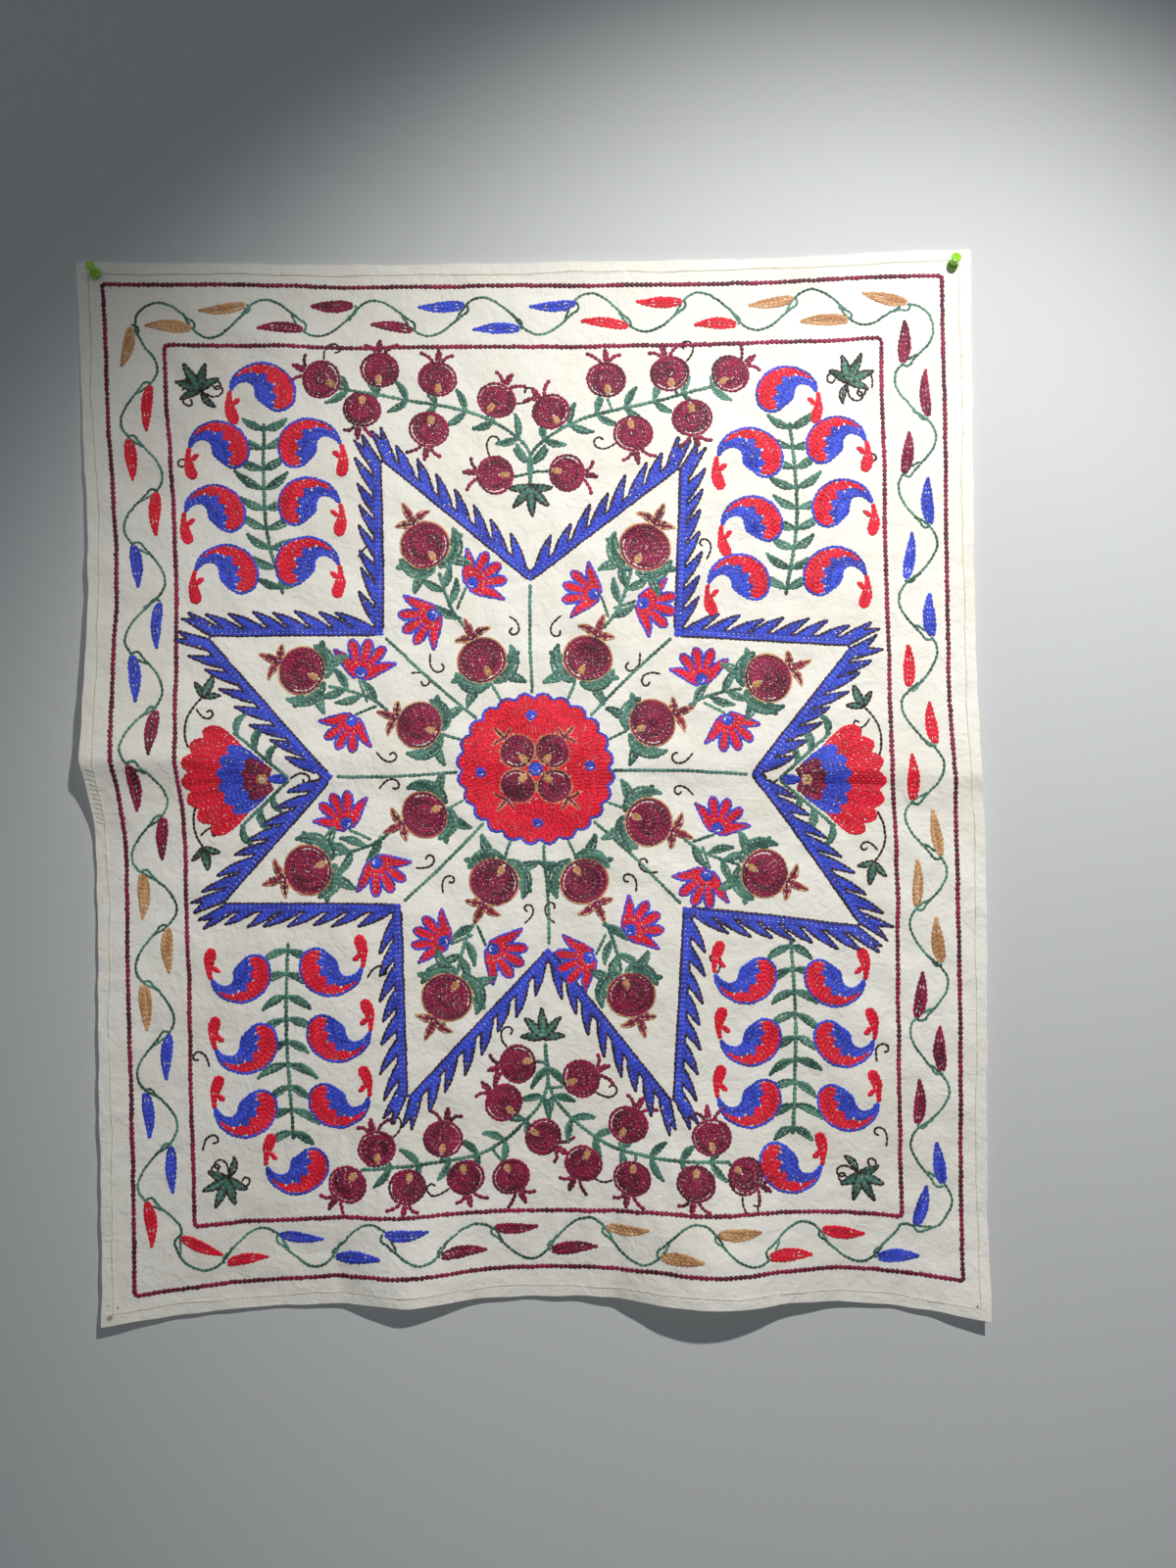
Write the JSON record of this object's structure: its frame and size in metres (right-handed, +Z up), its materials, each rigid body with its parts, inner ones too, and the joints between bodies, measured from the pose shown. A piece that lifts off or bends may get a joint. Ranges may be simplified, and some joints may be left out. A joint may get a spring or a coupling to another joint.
{
  "type": "suzani embroidered textile with push pins",
  "caption": "Cotton wall hanging with a chain-stitched star, fruit and vine border, hung from push pins at its top corners.",
  "frame": {"origin": "on the wall, in the middle of the straight line between the cloth's two top corners", "axes": "+X to the right of somebody facing the hanging, +Y into the wall, +Z up"},
  "size_m": [0.841, 0.0488, 0.9995],
  "materials": {
    "cotton_cloth": "off-white plain-weave cotton, matt",
    "pin_plastic": "lime green moulded plastic, glossy",
    "pin_steel": "bright drawn steel wire",
    "red_thread": "red cotton chain stitch, slight sheen",
    "blue_thread": "royal blue cotton chain stitch, slight sheen",
    "maroon_thread": "variegated maroon cotton chain stitch",
    "green_thread": "variegated sea green cotton chain stitch",
    "gold_thread": "tan gold cotton chain stitch",
    "dark_thread": "black-brown cotton chain stitch",
    "sewing_thread": "beige hem sewing thread"
  },
  "bodies": {
    "root": {"suzani_panel": "cotton_cloth", "left_pin_head": "pin_plastic", "left_pin_needle": "pin_steel", "right_pin_head": "pin_plastic", "right_pin_needle": "pin_steel"}
  },
  "joints": []
}
